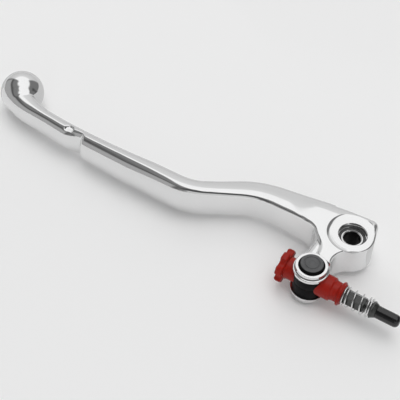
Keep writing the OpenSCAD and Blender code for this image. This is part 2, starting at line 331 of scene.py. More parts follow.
# ---------- blade and boss as one distance field ----------
def smooth_min(a, b, k):
    """The lower of two values, rounded where they are closer than k."""
    h = np.clip(0.5 + 0.5 * (b - a) / k, 0, 1)
    return b + (a - b) * h - k * h * (1 - h)


def smooth_max(a, b, k):
    """The higher of two values, rounded where they are closer than k."""
    return -smooth_min(-a, -b, k)


def smooth_step(v, low, high):
    """Rises from 0 at low to 1 at high, with level ends."""
    h = np.clip((v - low) / (high - low), 0, 1)
    return h * h * (3 - 2 * h)


def route_segments():
    """Each segment's start point, heading in radians, distance, length and turn."""
    point, heading, distance = np.array(ROUTE_START), math.radians(ROUTE_HEADING), 0.0
    segments = []
    for length, degrees in ROUTE:
        turn = math.radians(degrees)
        segments.append((point, heading, distance, length, turn))
        chord = length if turn == 0 else 2 * length / turn * math.sin(turn / 2)
        middle = heading + turn / 2
        point = point + chord * np.array([math.cos(middle), math.sin(middle)])
        heading += turn
        distance += length
    return segments, point


SEGMENTS, BALL_AT = route_segments()


def route_point(distance, offset):
    """Point at a distance along the route, offset towards the forward side."""
    for start, heading, before, length, turn in SEGMENTS:
        if distance <= before + length:
            break
    t = distance - before
    bend = turn * t / length
    chord = t if turn == 0 else 2 * length / turn * math.sin(bend / 2)
    way, at = heading + bend / 2, heading + bend
    x = start[0] + chord * math.cos(way) + offset * math.sin(at)
    y = start[1] + chord * math.sin(way) - offset * math.cos(at)
    return x, y


def along_route(x, y):
    """Distance along the route and offset towards the forward side."""
    best = np.full(np.shape(x), 1e9)
    distance, offset = np.zeros(np.shape(x)), np.zeros(np.shape(x))
    for i, (start, heading, before, length, turn) in enumerate(SEGMENTS):
        vx, vy = x - start[0], y - start[1]
        forward = (math.cos(heading), math.sin(heading))
        left = (-math.sin(heading), math.cos(heading))
        if turn == 0:
            d = vx * forward[0] + vy * forward[1]
            u = -(vx * left[0] + vy * left[1])
        else:
            radius = length / turn
            cx, cy = vx - left[0] * radius, vy - left[1] * radius
            ax, ay = -left[0] * radius, -left[1] * radius
            d = np.arctan2(ax * cy - ay * cx, ax * cx + ay * cy) * radius
            u = -math.copysign(1, radius) * (abs(radius) - np.hypot(cx, cy))
        beyond = np.maximum(d - length, 0)
        if i > 0:
            beyond = np.maximum(beyond, -d)
        miss = np.hypot(u, beyond)
        nearer = miss < best
        best = np.where(nearer, miss, best)
        distance = np.where(nearer, before + d, distance)
        offset = np.where(nearer, u, offset)
    return distance, offset


def polygon_distance(x, y, outline):
    """Signed distance to a closed outline, negative inside."""
    nearest = np.full(np.shape(x), 1e9)
    inside = np.zeros(np.shape(x), bool)
    for (ax, ay), (bx, by) in zip(outline, outline[1:] + outline[:1]):
        ex, ey = bx - ax, by - ay
        h = np.clip(((x - ax) * ex + (y - ay) * ey) / (ex * ex + ey * ey), 0, 1)
        nearest = np.minimum(nearest, np.hypot(x - ax - h * ex, y - ay - h * ey))
        crosses = (ay > y) != (by > y)
        at = ax + ex * (y - ay) / np.where(ey == 0, 1e-9, ey)
        inside ^= crosses & (x < at)
    return np.where(inside, -nearest, nearest)


def corner_cut(outline, rounds=2):
    """Chaikin's corner cutting, which turns an outline into a smooth curve."""
    points = np.array(outline, float)
    for _ in range(rounds):
        after = np.roll(points, -1, 0)
        points = np.stack([points * 0.75 + after * 0.25, points * 0.25 + after * 0.75], 1)
        points = points.reshape(-1, 2)
    return [tuple(p) for p in points]


BOSS_OUTLINE = corner_cut(
    arc((0, 0), 9, -66, 12, 14)
    + arc((3.6, 8.6), 3.2, 5, 94, 7)
    + [(-8, 11.3), (-20, 9.7), (-24, 8), (-24, -1.5), (-20.4, -4.2)]
    + arc((-18.6, -11.4), 7, 80, 32, 5)
    + [(-9.7, -10.2), (-8.4, -11.6), (-7.3, -14.3), (-6.9, -17.5), (-2.5, -18.6)]
    + arc((7, -15.5), 8, 204, 130, 8),
    1,
)
ARM_OUTLINE = (
    arc((-18.6, -11.4), 7, 50, -14, 6)
    + [(-12, -18.5)]
    + arc(BARREL, EAR_R - 0.1, 180, 390, 30)
    + [(-1, -17.7), (-2, -15), (0, -9)]
)

POCKET_CENTRE = route_point(*POCKET_AT)


def smoothed_sections():
    """Distances along the route, and each size of SECTIONS there, free of corners."""
    beyond, step = 20, 0.5
    reach, width = 12, 5.0
    table = np.array(SECTIONS, float)
    distances = np.arange(-beyond, ROUTE_LENGTH + beyond, step)
    kernel = np.exp(-0.5 * (np.arange(-reach, reach + 1) / width) ** 2)
    kernel /= kernel.sum()
    sizes = []
    for column in table.T[1:]:
        sharp = np.interp(distances, table[:, 0], column)
        sizes.append(np.convolve(np.pad(sharp, reach, "edge"), kernel, "valid"))
    return distances, sizes


DISTANCES, SIZES = smoothed_sections()


def notch_cut(d):
    """Depth of the break notch: a steep wall towards the pivot and a gentle ramp."""
    ramp_low, ramp_high = NOTCH_RAMP
    wall = smooth_step(d, NOTCH_FROM, NOTCH_FROM + NOTCH_WALL)
    slope = 1 - smooth_step(d, NOTCH_FROM + ramp_low, NOTCH_FROM + ramp_high)
    return NOTCH_DEPTH * wall * slope


def boss_edge_radius(x, y):
    """Wide along the boss's forward side, and tight on the rider side of the pivot."""
    plain, change = 1.5, 0.7
    radius = plain + change * smooth_step(y, 3, 9) * (1 - smooth_step(x, -12, 4))
    return radius - change * smooth_step(x, -10, -4) * (1 - smooth_step(y, 3, 8))


def top_height(x, y, u, height, boss, at_boss):
    """Half height of the blade and the boss, less the forward facet and the spot face."""
    height = height + (BOSS_HALF - height) * at_boss
    inwards = u + (FACET_WIDTH + boss - u) * at_boss
    facing = 1 + (smooth_step(y, 2, 7) - 1) * at_boss
    height = height - FACET_SLOPE * facing * smooth_max(inwards, np.zeros_like(u), 1.5)
    rim = smooth_step(np.hypot(x, y), SPOT_FLAT_R - 0.2, SPOT_R - 0.3)
    spot = SPOT_Z + (BOSS_HALF - SPOT_Z) * rim
    return np.where(at_boss > 0.5, np.minimum(height, spot), height)


def lever_plan(x, y):
    """Everything the forging's field needs that doesn't depend on height."""
    blade_start = -8
    d, u = along_route(x, y)
    rider, forward, height, bow, rider_edge, forward_edge = [
        np.interp(d, DISTANCES, size) for size in SIZES
    ]
    at_boss = smooth_step(x, *BOSS_FADE)
    spread = FACET_SPREAD * (1 - at_boss)
    strip = np.maximum(-u - rider + notch_cut(d), u - forward - spread)
    strip = np.maximum(strip, np.maximum(d - ROUTE_LENGTH, blade_start - d))
    boss = polygon_distance(x, y, BOSS_OUTLINE)
    flat = smooth_min(strip, boss, BOSS_BLEND)
    to_forward = smooth_step(u, -2, 2)
    edge = rider_edge + (forward_edge - rider_edge) * to_forward
    edge = edge + (boss_edge_radius(x, y) - edge) * at_boss
    bow = bow * (1 - to_forward) * (1 - at_boss)
    height = top_height(x, y, u, height, boss, at_boss)
    arm = polygon_distance(x, y, ARM_OUTLINE)
    arm_height = ARM_HALF + ROOT_RISE * smooth_step(y, -14, -5)
    ball = np.hypot(x - BALL_AT[0], y - BALL_AT[1])
    pocket = np.hypot(x - POCKET_CENTRE[0], y - POCKET_CENTRE[1]) - POCKET_R
    return flat, height, bow, edge, arm, arm_height, ball, pocket


def rounded_slab(plan_distance, z, half, r):
    """Distance to a flat body over an outline, with edges rounded to r."""
    a, b = plan_distance + r, np.abs(z) - half + r
    outside = np.hypot(np.maximum(a, 0), np.maximum(b, 0))
    return outside + np.minimum(np.maximum(a, b), 0) - r


def lever_field(plan, z):
    """Signed distance to the forging before its holes: blade, boss, ball and arm."""
    flat, height, bow, edge, arm, arm_height, ball, pocket = plan
    body = smooth_max(flat + bow * z**2 / 2, np.abs(z) - height, EDGE_BLEND * edge)
    body = np.maximum(body, -smooth_max(pocket, POCKET_Z - np.abs(z), POCKET_BLEND))
    sphere = np.hypot(ball, z) - BALL_R
    body = smooth_min(body, sphere, BALL_BLEND)
    web = rounded_slab(arm, z, arm_height, ARM_EDGE)
    return smooth_min(body, web, ARM_BLEND)


def surface_net(plan_of, field_of, low, high, step):
    """Closed quad mesh where the field is zero, with its points moved onto it."""
    axes = [np.arange(a, b + step, step) for a, b in zip(low, high)]
    gx, gy = np.meshgrid(axes[0], axes[1], indexing="ij")
    plan = [p[:, :, None] for p in plan_of(gx, gy)]
    field = field_of(plan, axes[2][None, None, :])
    size = np.array(field.shape) - 1
    total, hits = np.zeros((*size, 3)), np.zeros(size)
    crossings = []
    for axis in range(3):
        a = np.moveaxis(field, axis, 0)
        i, j, k = np.nonzero((a[:-1] < 0) != (a[1:] < 0))
        va, vb = a[i, j, k], a[i + 1, j, k]
        p, q = (axis + 1) % 3, (axis + 2) % 3
        index = np.zeros((len(i), 3), int)
        index[:, axis] = i
        others = [o for o in range(3) if o != axis]
        index[:, others[0]], index[:, others[1]] = j, k
        at = index.astype(float)
        at[:, axis] += va / (va - vb)
        crossings.append((axis, p, q, index, va < 0))
        for dp in (0, -1):
            for dq in (0, -1):
                cell = index.copy()
                cell[:, p] += dp
                cell[:, q] += dq
                cell_key = tuple(cell.T)
                np.add.at(total, cell_key, at)
                np.add.at(hits, cell_key, 1)
    cells = np.nonzero(hits)
    number = np.full(size, -1)
    number[cells] = np.arange(len(cells[0]))
    points = total[cells] / hits[cells][:, None] * step + np.array(low)
    faces = []
    for axis, p, q, index, rising in crossings:
        loop = []
        for dp, dq in ((-1, -1), (0, -1), (0, 0), (-1, 0)):
            cell = index.copy()
            cell[:, p] += dp
            cell[:, q] += dq
            loop.append(number[tuple(cell.T)])
        quads = np.column_stack(loop)
        quads[~rising] = quads[~rising][:, ::-1]
        faces.append(quads)
    faces = np.concatenate(faces)

    def value(p):
        return field_of(plan_of(p[:, 0], p[:, 1]), p[:, 2])

    nudge, flattest, farthest = 0.01, 0.05, 0.5 * step
    for _ in range(3):
        here = value(points)
        slope = np.column_stack(
            [(value(points + e) - here) / nudge for e in np.eye(3) * nudge]
        )
        steepness = np.maximum((slope**2).sum(1), flattest)
        move = (here / steepness)[:, None] * slope
        far = np.linalg.norm(move, axis=1, keepdims=True)
        points = points - move * np.minimum(1, farthest / np.maximum(far, 1e-9))
    return points, faces


# ---------- materials ----------
def add(tree, kind, inputs=None, **settings):
    """Adds a shader node; an input given as a socket is linked, or else set."""
    node = tree.nodes.new(kind)
    for key, value in settings.items():
        setattr(node, key, value)
    for key, value in (inputs or {}).items():
        if isinstance(value, bpy.types.NodeSocket):
            tree.links.new(value, node.inputs[key])
        else:
            node.inputs[key].default_value = value
    return node


def new_material(name, **inputs):
    """A material with a Principled shader whose sockets are set by name."""
    material = bpy.data.materials.new(name)
    material.use_nodes = True
    shader = material.node_tree.nodes["Principled BSDF"]
    for key, value in inputs.items():
        shader.inputs[key.replace("_", " ").title().replace("Ior", "IOR")].default_value = value
    return material, material.node_tree, shader


def stretched(tree, scale):
    """Object coordinates with each axis scaled, in features per metre."""
    where = add(tree, "ShaderNodeTexCoord").outputs["Object"]
    return add(
        tree, "ShaderNodeVectorMath", {0: where, 1: scale}, operation="MULTIPLY"
    ).outputs[0]


def noise(tree, scale, detail=2.0):
    """Noise from 0 to 1 with the given features per metre on each axis."""
    return add(
        tree,
        "ShaderNodeTexNoise",
        {"Vector": stretched(tree, scale), "Scale": 1.0, "Detail": detail, "Roughness": 0.5},
    ).outputs["Fac"]


def ramp(tree, value, low, high, out_low, out_high):
    """Maps a value from one range to another."""
    return add(
        tree,
        "ShaderNodeMapRange",
        {"Value": value, "From Min": low, "From Max": high, "To Min": out_low,
         "To Max": out_high},
    ).outputs[0]


def bump(tree, height, depth, under=None):
    """Bump of a given depth in metres, on top of another bump."""
    inputs = {"Height": height, "Distance": depth, "Strength": 1.0}
    if under is not None:
        inputs["Normal"] = under
    return add(tree, "ShaderNodeBump", inputs).outputs["Normal"]


def tint(tree, value, dark, light):
    """Colour between two colours."""
    mix = add(
        tree, "ShaderNodeMix", {"Factor": value, "A": dark, "B": light}, data_type="RGBA"
    )
    for key, colour in (("A", dark), ("B", light)):
        next(s for s in mix.inputs if s.name == key and s.type == "RGBA").default_value = colour
    return next(s for s in mix.outputs if s.type == "RGBA")


def grey(level):
    return (level, level, level, 1.0)


def polished_alloy():
    """Bright metal with long polishing waves and fine scratches along the blade."""
    material, tree, shader = new_material("polished_alloy", metallic=1.0)
    patches = noise(tree, (90, 90, 90), 3)
    tree.links.new(tint(tree, patches, grey(0.78), (0.82, 0.822, 0.825, 1)),
                   shader.inputs["Base Color"])
    tree.links.new(ramp(tree, noise(tree, (260, 260, 260), 4), 0.3, 0.7, 0.07, 0.13),
                   shader.inputs["Roughness"])
    waves = bump(tree, noise(tree, (95, 140, 140), 1.0), 2.2e-5)
    scratches = bump(tree, noise(tree, (250, 2600, 2600), 3.0), 9e-7, waves)
    tree.links.new(scratches, shader.inputs["Normal"])
    return material


def machined_alloy():
    """Cut metal with turning marks round the pivot axis."""
    marks_per_metre = 22000.0
    material, tree, shader = new_material("machined_alloy", metallic=1.0)
    patches = noise(tree, (300, 300, 300), 2)
    tree.links.new(tint(tree, patches, grey(0.76), grey(0.84)), shader.inputs["Base Color"])
    where = add(tree, "ShaderNodeTexCoord").outputs["Object"]
    flat = add(tree, "ShaderNodeVectorMath", {0: where, 1: (1, 1, 0)}, operation="MULTIPLY")
    radius = add(tree, "ShaderNodeVectorMath", {0: flat.outputs[0]}, operation="LENGTH")
    turns = add(
        tree, "ShaderNodeMath", {0: radius.outputs["Value"], 1: marks_per_metre},
        operation="MULTIPLY",
    ).outputs[0]
    marks = add(tree, "ShaderNodeMath", {0: turns}, operation="SINE").outputs[0]
    tree.links.new(bump(tree, marks, 1.2e-6), shader.inputs["Normal"])
    tree.links.new(ramp(tree, noise(tree, (700, 700, 700)), 0.3, 0.7, 0.16, 0.26),
                   shader.inputs["Roughness"])
    return material


def steel(name, dark, light, rough, marks=(3000, 300, 300)):
    """Grey metal with machining marks of the given fineness on each axis."""
    material, tree, shader = new_material(name, metallic=1.0)
    patches = noise(tree, (500, 500, 500), 2)
    tree.links.new(tint(tree, patches, grey(dark), grey(light)), shader.inputs["Base Color"])
    tree.links.new(bump(tree, noise(tree, marks, 2.0), 1.5e-6), shader.inputs["Normal"])
    tree.links.new(ramp(tree, patches, 0.3, 0.7, rough, rough + 0.08),
                   shader.inputs["Roughness"])
    return material


def nut_brass():
    material, tree, shader = new_material("nut_brass", metallic=1.0, roughness=0.3)
    patches = noise(tree, (500, 500, 500))
    tree.links.new(tint(tree, patches, (0.52, 0.36, 0.13, 1), (0.66, 0.48, 0.2, 1)),
                   shader.inputs["Base Color"])
    tree.links.new(bump(tree, noise(tree, (3000, 400, 400)), 1.5e-6), shader.inputs["Normal"])
    return material


def plastic(name, dark, light, rough, grain=1500, depth=4e-6, **inputs):
    """Moulded plastic: slight colour drift, fine grain and shallow sink waves."""
    material, tree, shader = new_material(name, **inputs)
    drift = noise(tree, (350, 350, 350), 3)
    tree.links.new(tint(tree, drift, dark, light), shader.inputs["Base Color"])
    sink = bump(tree, noise(tree, (280, 280, 280), 1.0), 2.5e-5)
    fine_grain = bump(tree, noise(tree, (grain, grain, grain), 3.0), depth, sink)
    tree.links.new(fine_grain, shader.inputs["Normal"])
    tree.links.new(ramp(tree, noise(tree, (900, 900, 900), 3), 0.3, 0.7, rough, rough + 0.14),
                   shader.inputs["Roughness"])
    return material


ALLOY = polished_alloy()
MACHINED = machined_alloy()
# Dark metal for the crease at the foot of each ear's ring: painted shade.
PAINTED_CREASE_SHADE = steel("painted_crease_shade", 0.12, 0.2, 0.3)
SLEEVE_STEEL = steel("ground_steel", 0.62, 0.72, 0.16, (600, 600, 4000))
BUSH_METAL = steel("bush_metal", 0.10, 0.16, 0.34, (600, 600, 3000))
SPRING_STEEL = steel("spring_steel", 0.72, 0.82, 0.12)
CLIP_STEEL = steel("clip_steel", 0.25, 0.32, 0.3)
BRASS = nut_brass()
ROD_BLACK = plastic(
    "black_oxide", (0.008, 0.009, 0.008, 1), (0.016, 0.018, 0.016, 1), 0.16, 2500, 1.2e-6,
    ior=1.7,
)
NOSE_BLACK = plastic(
    "nose_black", (0.004, 0.004, 0.004, 1), (0.008, 0.008, 0.008, 1), 0.1, 1800, 8e-7,
    ior=1.6,
)
RED = plastic(
    "red_plastic", (0.28, 0.010, 0.005, 1), (0.36, 0.016, 0.008, 1), 0.28, 1300, 3e-6,
    specular_ior_level=0.2,
)
BLACK = plastic(
    "black_plastic", (0.002, 0.002, 0.002, 1), (0.004, 0.004, 0.0045, 1), 0.34, 1100, 6e-6,
    specular_ior_level=0.08,
)
# Barrel head's top: rougher, with a finer and deeper grain, and a lighter colour that is painted
# sheen where the top catches the light.
HEAD_PAINTED_SHEEN = plastic(
    "barrel_head_painted_sheen", (0.075, 0.076, 0.078, 1), (0.14, 0.141, 0.144, 1), 0.5, 1600, 1.4e-5,
    specular_ior_level=0.3,
)
# Near-black for the inside of the pivot sleeve: painted shade in the bore.
PAINTED_BORE_SHADE = plastic(
    "painted_bore_shade", (0.0015, 0.0015, 0.0015, 1), (0.004, 0.004, 0.004, 1), 0.3, 900, 4e-6,
    specular_ior_level=0.1,
)
RUBBER = plastic("rubber", (0.012, 0.012, 0.012, 1), (0.02, 0.02, 0.02, 1), 0.5)


# ---------- finishing a piece ----------
def paint(piece, index, chosen):
    """Gives a material index to the faces whose centre, in millimetres, is chosen."""
    for face in piece.data.polygons:
        if chosen(Vector(face.center) / MM):
            face.material_index = index


def finish_piece(piece, body, node, sharp_angle=38):
    """Shades a piece that replaces one CAD node and puts it on its body."""
    shade(piece, sharp_angle)
    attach(piece, body)
    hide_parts(node)


# ---------- the forging ----------
def ear(sign):
    """One ear: a flared lip and a ring whose foot is painted dark as crease shade, all
    overlapping the arm.
    """
    core_r, foot_rise = 0.5, 0.6
    foot_r, foot_z = RING_R + 0.05, LIP_TOP_Z + foot_rise
    profile = fillet(
        [[core_r, EAR_INNER_Z], [LIP_R, EAR_INNER_Z], [LIP_R, LIP_Z, 0.3],
         [RING_R + 0.3, LIP_TOP_Z], [foot_r, foot_z], [RING_R, RING_HALF, 0.14],
         [core_r, RING_HALF]], 8,
    )
    piece = turned(
        "ear", [(r, sign * t) for r, t in profile], [ALLOY, PAINTED_CREASE_SHADE], along_z, sides=160
    )
    # The faces at the foot of the ring get the dark metal: painted shade in the crease.
    paint(piece, 1, lambda c: LIP_TOP_Z + 0.1 < abs(c.z) < foot_z)
    piece.data.transform(TO_BARREL)
    return piece


def pivot_cutter():
    """Bore, counterbores and the rims of the spot faces, in one turned cutter."""
    above, edge = SPOT_Z + SPOT_GAP, 0.3
    rim = [
        [SPOT_FLAT_R + RIM_RISE_R * math.sin(a), above + RIM_RISE_R * (1 - math.cos(a))]
        for a in np.radians(np.linspace(RIM_TURN, 0, 13))
    ]
    upper = [[rim[0][0] + 1.5, rim[0][1] + 1.6]] + rim + [
        [COUNTERBORE_R + edge + SPOT_GAP, above], [COUNTERBORE_R, SPOT_Z - edge],
        [COUNTERBORE_R, COUNTERBORE_Z], [PIVOT_BORE_R, COUNTERBORE_Z],
    ]
    corners = upper + [[c[0], -c[1], *c[2:]] for c in reversed(upper)]
    return turned("cutter", corners, [ALLOY], along_z, sides=192)


def trunnion_cutter():
    """Bore through both ears for the barrel, chamfered at its mouths."""
    edge = 0.25
    corners = [
        [TRUNNION_BORE_R + edge + 1, RING_HALF + 1], [TRUNNION_BORE_R, RING_HALF - edge],
    ]
    corners += [[r, -t] for r, t in reversed(corners)]
    piece = turned("cutter", fillet(corners), [MACHINED], along_z, sides=160)
    piece.data.transform(TO_BARREL)
    return piece


def slot_cutter():
    """The gap between the ears, round at its inner end and open to the rider side."""
    x, y = BARREL
    reach, mouth_y = SLOT_R + MOUTH_BEYOND, y - MOUTH_DEPTH
    outline = arc(BARREL, SLOT_R, 0, 180, 40) + [
        (x - reach, y), (x - reach, mouth_y), (x + reach, mouth_y), (x + reach, y)
    ]
    return prism("cutter", outline, -GAP_HALF, GAP_HALF, [MACHINED])


def swing_cutter(side):
    """Room in the slot for the knob's neck or the collar at the end of the swing."""
    profile = [[SWING_R, 0], [SWING_R, 2 * SLOT_R]]
    piece = turned("cutter", profile, [MACHINED], along_rod, sides=96)
    centre = Vector((BARREL[0], BARREL[1], 0)) * MM
    to_axis = Matrix.Translation(Vector((0, -BARREL[1], 0)) * MM)
    half_turn = Matrix.Rotation(0 if side > 0 else math.pi, 4, "Z")
    swing = Matrix.Rotation(side * SWING, 4, "Z")
    piece.data.transform(Matrix.Translation(centre) @ swing @ half_turn @ to_axis)
    return piece


def make_lever():
    """The forging: its field as a mesh, joined with the ears and cut by every hole."""
    step = 0.4
    margin = 1.2
    low, high = LEVER_LOW - margin, LEVER_HIGH + margin
    points, faces = surface_net(lever_plan, lever_field, low, high, step)
    piece = new_piece("lever_body", points, faces.tolist(), [ALLOY, MACHINED])
    for sign in (-1, 1):
        combine(piece, ear(sign), "UNION")
    combine(piece, pivot_cutter(), "DIFFERENCE")
    combine(piece, slot_cutter(), "DIFFERENCE")
    for side in (-1, 1):
        combine(piece, swing_cutter(side), "DIFFERENCE")
    combine(piece, trunnion_cutter(), "DIFFERENCE")
    finish_piece(piece, "lever", "lever_forging", 36)


make_lever()


# ---------- pivot ----------
def make_bush(sign, node):
    bore_r = SLEEVE_R + 0.05
    corners = [
        [bore_r, BUSH_Z, 0.1], [BUSH_R, BUSH_Z, 0.1], [BUSH_R, SLEEVE_Z, 0.35],
        [bore_r, SLEEVE_Z, 0.25],
    ]
    profile = [(r, sign * t) for r, t in fillet(corners)]
    piece = turned(node + "_ring", profile, [BUSH_METAL], along_z, closed=True, sides=128)
    finish_piece(piece, "lever", node)


def make_sleeve():
    edge = 0.3
    corners = [
        [SLEEVE_BORE_R, -SLEEVE_Z + edge], [SLEEVE_BORE_R + edge, -SLEEVE_Z],
        [SLEEVE_R, -SLEEVE_Z, 0.2], [SLEEVE_R, SLEEVE_Z, 0.2],
        [SLEEVE_BORE_R + edge, SLEEVE_Z], [SLEEVE_BORE_R, SLEEVE_Z - edge],
    ]
    piece = turned(
        "sleeve_tube", fillet(corners), [SLEEVE_STEEL, PAINTED_BORE_SHADE], along_z, closed=True,
        sides=128,
    )
    # The bore's faces get the near-black material: painted shade inside the hole.
    paint(piece, 1, lambda c: math.hypot(c.x, c.y) < SLEEVE_BORE_R + 0.01)
    finish_piece(piece, "sleeve", "pivot_sleeve")


make_bush(1, "pivot_bush_upper")
make_bush(-1, "pivot_bush_lower")
make_sleeve()


# ---------- barrel ----------
def make_barrel_half(sign, node):
    """Drum, trunnion and head with a ring groove; the bore along the rod crosses it."""
    top = HEAD_Z + HEAD_RISE
    groove_in, groove_out, groove_z = 2.6, 3.2, top - 0.25
    dish_r, dish_z = 1.4, top - 0.12
    reach = 12
    corners = [
        [0.01, SPLIT / 2], [DRUM_R, SPLIT / 2, 0.12], [DRUM_R, DRUM_Z, 0.2],
        [TRUNNION_R, DRUM_Z, 0.1], [TRUNNION_R, RING_HALF - 0.45, 0.12],
        [HEAD_R, RING_HALF - 0.2, 0.1], [HEAD_TOP_R, top, 0.3],
        [groove_out, top, 0.08], [groove_out - 0.1, groove_z, 0.06],
        [groove_in + 0.1, groove_z, 0.06], [groove_in, top, 0.08],
        [dish_r, top, 0.3], [dish_r - 0.3, dish_z, 0.3], [0.01, dish_z],
    ]
    profile = [(r, sign * t) for r, t in fillet(corners)]
    piece = turned(node + "_shell", profile, [BLACK, HEAD_PAINTED_SHEEN], along_z, sides=160)
    # The head's top faces get the lighter plastic: painted sheen on the same black plastic as
    # the drum.
    paint(piece, 1, lambda c: abs(c.z) > top - 0.3)
    piece.data.transform(TO_BARREL)
    bore = [[BORE_R, -reach], [BORE_R, reach]]
    seat = [[NECK_R + 0.05, -reach], [NECK_R + 0.05, -SEAT_END]]
    for cut in (bore, seat):
        cutter = turned(
            "cutter", [(r, rod_x(t)) for r, t in cut], [BLACK], along_rod, sides=96
        )
        combine(piece, cutter, "DIFFERENCE")
    finish_piece(piece, "barrel", node)


make_barrel_half(1, "barrel_upper")
make_barrel_half(-1, "barrel_lower")


# ---------- adjuster ----------
def star_outline(angles):
    """Radius of the hand wheel: round lobes between round valleys."""
    pitch = TAU / LOBES
    away = (angles - math.radians(FIRST_LOBE)) % pitch - pitch / 2
    across = VALLEY_AT * np.sin(away)
    inside = np.maximum(VALLEY_R**2 - across**2, 0)
    valley = VALLEY_AT * np.cos(away) - np.sqrt(inside)
    valley = np.where(inside > 0, valley, STAR_R + 1.5)
    tip, corner = STAR_R + 0.12, 0.9
    return smooth_min(valley, np.full_like(valley, tip), corner)


def star_shape(radius, height, angles):
    """Rings beyond the neck follow the star, inset as far as they are below its rim."""
    wheel = smooth_step(radius, NECK_R + 0.4, NECK_R + 0.6)
    return radius + wheel * (star_outline(angles) - STAR_R), height


def make_knob():
    """Star wheel, neck and tube with its two grooves, and the recess for the nut."""
    back, edge = KNOB_X + STAR_T, 0.85
    corners = [
        [NUT_R, KNOB_X, 0.2], [STAR_R - 1.9, KNOB_X], [STAR_R - 1.2, KNOB_X + 0.02],
        [STAR_R, KNOB_X, edge], [STAR_R, back, edge],
        [STAR_R - 1.2, back - 0.02], [STAR_R - 1.9, back],
        [NECK_R, back, 0.25], [NECK_R, rod_x(-SEAT_END), 0.3],
        [TUBE_R, rod_x(-SEAT_END), 0.1],
    ]
    for place, width, radius in ((ORING_AT - 0.35, 0.7, ORING_R), (CLIP_AT, 0.6, CLIP_R)):
        low = rod_x(place)
        corners += [[TUBE_R, low], [radius, low], [radius, low + width], [TUBE_R, low + width]]
    corners += [
        [TUBE_R, KNOB_END_X, 0.25], [TAIL_BORE_R, KNOB_END_X, 0.15],
        [TAIL_BORE_R, rod_x(-NUT_END)], [NUT_R, rod_x(-NUT_END)],
    ]
    piece = turned(
        "knob_wheel", fillet(corners, 6), [RED], along_rod, closed=True, sides=240,
        shape=star_shape,
    )
    finish_piece(piece, "knob", "adjuster_knob", 42)


def thread_shape(depth):
    """A thread cut into the rings, with its crests slightly flattened."""
    def shape(radius, height, angles):
        phase = (height / PITCH - angles / TAU) % 1
        tooth = np.clip(np.abs(phase - 0.5) * 2.4 - 0.2, 0, 1)
        return radius - depth * tooth, height
    return shape


def make_nut():
    low, high = KNOB_X + 0.2, rod_x(-NUT_END)
    inner_r, outer_r = THREAD_R + 0.1, NUT_R - 0.02
    corners = [
        [inner_r, low, 0.2], [outer_r, low, 0.25], [outer_r, high, 0.1], [inner_r, high, 0.1],
    ]
    piece = turned("nut_insert", fillet(corners), [BRASS], along_rod, closed=True, sides=96)
    finish_piece(piece, "knob", "adjuster_nut")


make_knob()
make_nut()


# ---------- guide collar ----------
def hexagon(angles, across_flats):
    """Radius of a hexagon with a corner at HEX_TURN."""
    away = (angles - math.radians(HEX_TURN)) % (TAU / 6) - TAU / 12
    return across_flats / 2 / np.cos(away)


def make_collar():
    """Red collar: saddle end on the drum, waist, flange and hexagonal hole."""
    body, waist, flange, step = 4.8, 4.0, 4.9, 4.2
    clip_room, clip_from, clip_to = 4.1, 6.9, 9.6
    hole = HEX_HOLE / 2
    outer = [
        [BORE_R, rod_x(2)], [body, rod_x(2)], [body, rod_x(10), 0.35],
        [waist + 0.25, rod_x(10.4), 0.25], [waist, rod_x(11.2), 0.6],
        [waist, rod_x(12.9), 0.6], [flange, rod_x(13.55), 0.12], [flange, rod_x(14.1), 0.12],
        [step, rod_x(14.25), 0.05], [step, COLLAR_END_X, 0.2],
        [hole / math.cos(TAU / 12) + 0.05, COLLAR_END_X, 0.1],
    ]
    inner = [
        [hole, COLLAR_END_X - 0.25], [hole, rod_x(clip_to)], [clip_room, rod_x(clip_to)],
        [clip_room, rod_x(clip_from)], [BORE_R, rod_x(clip_from)],
    ]

    def shape(radius, height, angles):
        flat = np.abs(radius - hole) < 1e-6
        return np.where(flat, hexagon(angles, HEX_HOLE), radius), height

    piece = turned(
        "collar_sleeve", fillet(outer + inner, 5), [RED], along_rod, closed=True, sides=192,
        shape=shape, start=HEX_TURN,
    )
    saddle = [[DRUM_R + 0.05, -12], [DRUM_R + 0.05, 12]]
    cutter = turned("cutter", saddle, [RED], along_z, sides=192)
    cutter.data.transform(TO_BARREL)
    combine(piece, cutter, "DIFFERENCE")
    finish_piece(piece, "barrel", "guide_collar", 35)


make_collar()


# ---------- spring ----------
def risen(t):
    """Area under a step that rises from 0 to 1 over one turn."""
    return np.where(t < 0, 0, np.where(t < 1, t * t / 2, t - 0.5))


